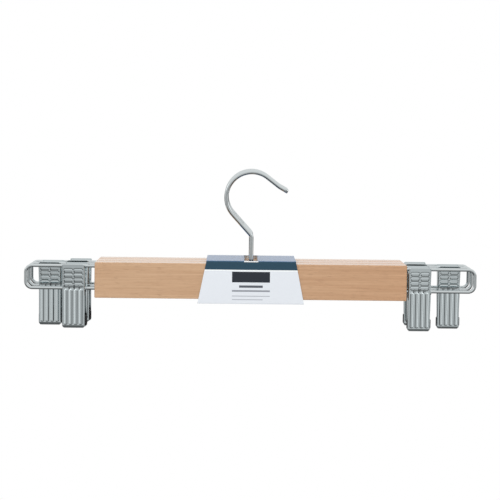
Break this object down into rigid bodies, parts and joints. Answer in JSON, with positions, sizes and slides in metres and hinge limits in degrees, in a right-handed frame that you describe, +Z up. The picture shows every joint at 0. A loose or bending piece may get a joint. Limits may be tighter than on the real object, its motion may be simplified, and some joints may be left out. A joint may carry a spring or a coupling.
{
  "type": "trouser hanger",
  "caption": "Packed wooden clip hangers: a straight bar with a swivel wire hook, and a sprung two-jaw clip sliding on a wire loop at each end, banded by a card sleeve.",
  "frame": {"origin": "the inside top of the middle hanger's hook, where a wardrobe rail carries it", "axes": "+X along the bars towards the side the hooks open to, +Y from the front hanger to the rear one, +Z up"},
  "size_m": [0.3846, 0.0404, 0.1353],
  "materials": {
    "beech": "clear matt lacquer over fine straight grain",
    "chrome": "bright nickel-chrome plate",
    "spring_steel": "plain drawn wire",
    "black_pvc": "soft matt",
    "card": "coated white card with a printed band at the top fold"
  },
  "bodies": {
    "pack": {"card_sleeve": "card", "near_bar": "beech", "near_hook_washer": "chrome", "near_left_wire_loop": "chrome", "near_right_wire_loop": "chrome", "middle_bar": "beech", "middle_hook_washer": "chrome", "middle_left_wire_loop": "chrome", "middle_right_wire_loop": "chrome", "far_bar": "beech", "far_hook_washer": "chrome", "far_left_wire_loop": "chrome", "far_right_wire_loop": "chrome"},
    "near_hook": {"near_hook": "chrome"},
    "middle_hook": {"middle_hook": "chrome"},
    "far_hook": {"far_hook": "chrome"},
    "near_left_clip": {"near_left_spring": "spring_steel"},
    "near_left_rear_side": {"near_left_rear_jaw": "chrome", "near_left_rear_pad": "black_pvc"},
    "near_left_face_side": {"near_left_face_jaw": "chrome", "near_left_face_pad": "black_pvc"},
    "near_right_clip": {"near_right_spring": "spring_steel"},
    "near_right_rear_side": {"near_right_rear_jaw": "chrome", "near_right_rear_pad": "black_pvc"},
    "near_right_face_side": {"near_right_face_jaw": "chrome", "near_right_face_pad": "black_pvc"},
    "middle_left_clip": {"middle_left_spring": "spring_steel"},
    "middle_left_rear_side": {"middle_left_rear_jaw": "chrome", "middle_left_rear_pad": "black_pvc"},
    "middle_left_face_side": {"middle_left_face_jaw": "chrome", "middle_left_face_pad": "black_pvc"},
    "middle_right_clip": {"middle_right_spring": "spring_steel"},
    "middle_right_rear_side": {"middle_right_rear_jaw": "chrome", "middle_right_rear_pad": "black_pvc"},
    "middle_right_face_side": {"middle_right_face_jaw": "chrome", "middle_right_face_pad": "black_pvc"},
    "far_left_clip": {"far_left_spring": "spring_steel"},
    "far_left_rear_side": {"far_left_rear_jaw": "chrome", "far_left_rear_pad": "black_pvc"},
    "far_left_face_side": {"far_left_face_jaw": "chrome", "far_left_face_pad": "black_pvc"},
    "far_right_clip": {"far_right_spring": "spring_steel"},
    "far_right_rear_side": {"far_right_rear_jaw": "chrome", "far_right_rear_pad": "black_pvc"},
    "far_right_face_side": {"far_right_face_jaw": "chrome", "far_right_face_pad": "black_pvc"}
  },
  "joints": [
    {"name": "near_hook_swivel", "type": "hinge", "parent": "pack", "child": "near_hook", "pos_m": [0, -0.0127, -0.08], "axis": [0, 0, 1], "range_deg": [-14, 14]},
    {"name": "middle_hook_swivel", "type": "hinge", "parent": "pack", "child": "middle_hook", "pos_m": [0, 0, -0.08], "axis": [0, 0, 1], "range_deg": [-14, 14]},
    {"name": "far_hook_swivel", "type": "hinge", "parent": "pack", "child": "far_hook", "pos_m": [0, 0.0127, -0.08], "axis": [0, 0, 1], "range_deg": [-14, 14]},
    {"name": "near_left_clip_slide", "type": "slide", "parent": "pack", "child": "near_left_clip", "axis": [-1, 0, 0], "range_m": [-0.007, 0.0017]},
    {"name": "near_left_rear_hinge", "type": "hinge", "parent": "near_left_clip", "child": "near_left_rear_side", "pos_m": [-0.1493, -0.0127, -0.0984], "axis": [1, 0, 0], "range_deg": [0, 12], "stiffness_Nm_per_rad": 0.08, "springref_deg": -57.3, "deforming": ["near_left_spring"]},
    {"name": "near_left_face_hinge", "type": "hinge", "parent": "near_left_clip", "child": "near_left_face_side", "pos_m": [-0.1493, -0.0127, -0.0984], "axis": [-1, 0, 0], "range_deg": [0, 12], "stiffness_Nm_per_rad": 0.08, "springref_deg": -57.3},
    {"name": "near_right_clip_slide", "type": "slide", "parent": "pack", "child": "near_right_clip", "axis": [1, 0, 0], "range_m": [-0.0012, 0.007]},
    {"name": "near_right_rear_hinge", "type": "hinge", "parent": "near_right_clip", "child": "near_right_rear_side", "pos_m": [0.1435, -0.0127, -0.0984], "axis": [1, 0, 0], "range_deg": [0, 12], "stiffness_Nm_per_rad": 0.08, "springref_deg": -57.3, "deforming": ["near_right_spring"]},
    {"name": "near_right_face_hinge", "type": "hinge", "parent": "near_right_clip", "child": "near_right_face_side", "pos_m": [0.1435, -0.0127, -0.0984], "axis": [-1, 0, 0], "range_deg": [0, 12], "stiffness_Nm_per_rad": 0.08, "springref_deg": -57.3},
    {"name": "middle_left_clip_slide", "type": "slide", "parent": "pack", "child": "middle_left_clip", "axis": [-1, 0, 0], "range_m": [-0.0016, 0.0036]},
    {"name": "middle_left_rear_hinge", "type": "hinge", "parent": "middle_left_clip", "child": "middle_left_rear_side", "pos_m": [-0.1714, 0, -0.0984], "axis": [1, 0, 0], "range_deg": [0, 12], "stiffness_Nm_per_rad": 0.08, "springref_deg": -57.3, "deforming": ["middle_left_spring"]},
    {"name": "middle_left_face_hinge", "type": "hinge", "parent": "middle_left_clip", "child": "middle_left_face_side", "pos_m": [-0.1714, 0, -0.0984], "axis": [-1, 0, 0], "range_deg": [0, 12], "stiffness_Nm_per_rad": 0.08, "springref_deg": -57.3},
    {"name": "middle_right_clip_slide", "type": "slide", "parent": "pack", "child": "middle_right_clip", "axis": [1, 0, 0], "range_m": [-0.0061, 0.0041]},
    {"name": "middle_right_rear_hinge", "type": "hinge", "parent": "middle_right_clip", "child": "middle_right_rear_side", "pos_m": [0.1709, 0, -0.0984], "axis": [1, 0, 0], "range_deg": [0, 12], "stiffness_Nm_per_rad": 0.08, "springref_deg": -57.3, "deforming": ["middle_right_spring"]},
    {"name": "middle_right_face_hinge", "type": "hinge", "parent": "middle_right_clip", "child": "middle_right_face_side", "pos_m": [0.1709, 0, -0.0984], "axis": [-1, 0, 0], "range_deg": [0, 12], "stiffness_Nm_per_rad": 0.08, "springref_deg": -57.3},
    {"name": "far_left_clip_slide", "type": "slide", "parent": "pack", "child": "far_left_clip", "axis": [-1, 0, 0], "range_m": [-0.0071, 0.0016]},
    {"name": "far_left_rear_hinge", "type": "hinge", "parent": "far_left_clip", "child": "far_left_rear_side", "pos_m": [-0.1494, 0.0127, -0.0984], "axis": [1, 0, 0], "range_deg": [0, 12], "stiffness_Nm_per_rad": 0.08, "springref_deg": -57.3, "deforming": ["far_left_spring"]},
    {"name": "far_left_face_hinge", "type": "hinge", "parent": "far_left_clip", "child": "far_left_face_side", "pos_m": [-0.1494, 0.0127, -0.0984], "axis": [-1, 0, 0], "range_deg": [0, 12], "stiffness_Nm_per_rad": 0.08, "springref_deg": -57.3},
    {"name": "far_right_clip_slide", "type": "slide", "parent": "pack", "child": "far_right_clip", "axis": [1, 0, 0], "range_m": [-0.0021, 0.0061]},
    {"name": "far_right_rear_hinge", "type": "hinge", "parent": "far_right_clip", "child": "far_right_rear_side", "pos_m": [0.1444, 0.0127, -0.0984], "axis": [1, 0, 0], "range_deg": [0, 12], "stiffness_Nm_per_rad": 0.08, "springref_deg": -57.3, "deforming": ["far_right_spring"]},
    {"name": "far_right_face_hinge", "type": "hinge", "parent": "far_right_clip", "child": "far_right_face_side", "pos_m": [0.1444, 0.0127, -0.0984], "axis": [-1, 0, 0], "range_deg": [0, 12], "stiffness_Nm_per_rad": 0.08, "springref_deg": -57.3}
  ],
  "couplings": [
    {"joint": "near_left_face_hinge", "follows": "near_left_rear_hinge", "ratio": 1},
    {"joint": "near_right_face_hinge", "follows": "near_right_rear_hinge", "ratio": 1},
    {"joint": "middle_left_face_hinge", "follows": "middle_left_rear_hinge", "ratio": 1},
    {"joint": "middle_right_face_hinge", "follows": "middle_right_rear_hinge", "ratio": 1},
    {"joint": "far_left_face_hinge", "follows": "far_left_rear_hinge", "ratio": 1},
    {"joint": "far_right_face_hinge", "follows": "far_right_rear_hinge", "ratio": 1}
  ]
}
